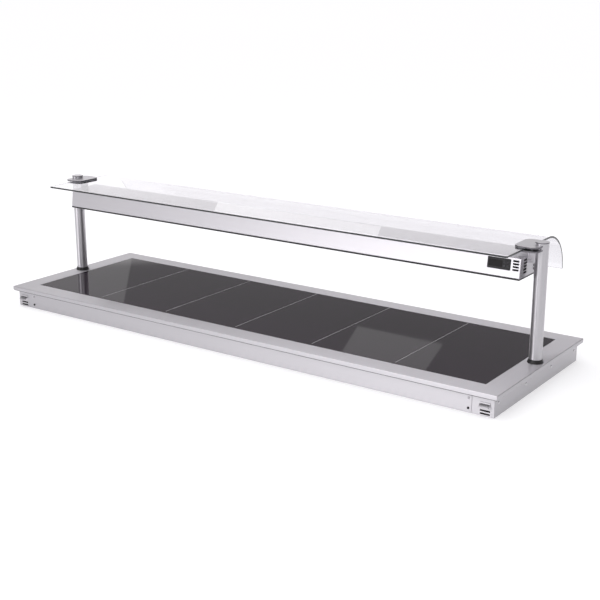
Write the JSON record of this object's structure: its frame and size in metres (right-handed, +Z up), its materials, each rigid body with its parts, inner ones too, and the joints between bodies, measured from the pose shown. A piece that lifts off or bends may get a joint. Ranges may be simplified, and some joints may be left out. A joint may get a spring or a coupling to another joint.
{
  "type": "drop-in hot plate",
  "caption": "Drop-in hot plate with a long black ceramic glass in a steel flange, and a heated gantry on round posts under a curved glass shelf.",
  "frame": {"origin": "centre of the bounding box at the underside of the body", "axes": "+X along the length, towards the end with the controller; -Y is the front with the access panel; +Z up"},
  "size_m": [2.105, 0.67, 0.4765],
  "materials": {
    "brushed_stainless": "brushed",
    "polished_stainless": "polished",
    "galvanised_steel": "satin",
    "black_ceramic": "glossy",
    "print_grey": "matte",
    "clear_glass": "glossy",
    "quartz_glass": "glossy",
    "black_silicone": "matte",
    "clear_silicone": "satin",
    "black_nylon": "matte",
    "black_oxide": "satin",
    "controller_black": "satin",
    "key_grey": "matte",
    "heater_silicone": "matte",
    "mineral_wool": "matte",
    "porcelain": "glossy",
    "terminal_white": "matte",
    "brass": "satin"
  },
  "bodies": {
    "hot_plate": {"flange_frame": "brushed_stainless", "body_pan": "brushed_stainless", "access_panel": "brushed_stainless", "air_hoods": "brushed_stainless", "side_rivets": "brushed_stainless", "spreader_plates": "brushed_stainless", "hanger_left": "brushed_stainless", "hanger_right": "brushed_stainless", "gantry_housing": "brushed_stainless", "end_cap_left": "brushed_stainless", "end_cap_right": "brushed_stainless", "control_cover": "brushed_stainless", "post_left": "polished_stainless", "post_right": "polished_stainless", "cap_left": "polished_stainless", "cap_right": "polished_stainless", "lower_clamp_left": "polished_stainless", "lower_clamp_right": "polished_stainless", "upper_clamp_left": "polished_stainless", "upper_clamp_right": "polished_stainless", "reflector": "polished_stainless", "panel_screws": "polished_stainless", "clamp_screws": "polished_stainless", "hanger_screws": "polished_stainless", "post_plugs": "polished_stainless", "post_studs": "polished_stainless", "stud_nuts": "polished_stainless", "plate_probe": "polished_stainless", "carrier_tray": "galvanised_steel", "ceramic_glass": "black_ceramic", "zone_marks": "print_grey", "glass_shelf": "clear_glass", "heat_lamps": "quartz_glass", "glass_seal": "black_silicone", "flange_gasket": "black_silicone", "riser_cable": "black_silicone", "wiring_loom": "black_silicone", "clamp_pads": "clear_silicone", "bedding_tape": "clear_silicone", "collar_left": "black_nylon", "collar_right": "black_nylon", "cable_gland": "black_nylon", "gland_nut": "black_nylon", "power_relays": "black_nylon", "panel_locks": "black_oxide", "end_cap_screws": "black_oxide", "lamp_guard": "black_oxide", "controller": "controller_black", "display_window": "controller_black", "heating_mats": "heater_silicone", "insulation_board": "mineral_wool", "lamp_holders": "porcelain", "limit_thermostats": "porcelain", "terminal_block": "terminal_white", "lamp_terminals": "terminal_white", "earth_stud": "brass"},
    "key_set_body": {"key_set": "key_grey"},
    "key_up_body": {"key_up": "key_grey"},
    "key_down_body": {"key_down": "key_grey"},
    "key_power_body": {"key_power": "key_grey"}
  },
  "joints": [
    {"name": "key_set_press", "type": "slide", "parent": "hot_plate", "child": "key_set_body", "axis": [0, 0.9903, -0.1393], "range_m": [0, 0.0008], "stiffness_N_per_m": 600},
    {"name": "key_up_press", "type": "slide", "parent": "hot_plate", "child": "key_up_body", "axis": [0, 0.9903, -0.1393], "range_m": [0, 0.0008], "stiffness_N_per_m": 600},
    {"name": "key_down_press", "type": "slide", "parent": "hot_plate", "child": "key_down_body", "axis": [0, 0.9903, -0.1393], "range_m": [0, 0.0008], "stiffness_N_per_m": 600},
    {"name": "key_power_press", "type": "slide", "parent": "hot_plate", "child": "key_power_body", "axis": [0, 0.9903, -0.1393], "range_m": [0, 0.0008], "stiffness_N_per_m": 600}
  ]
}
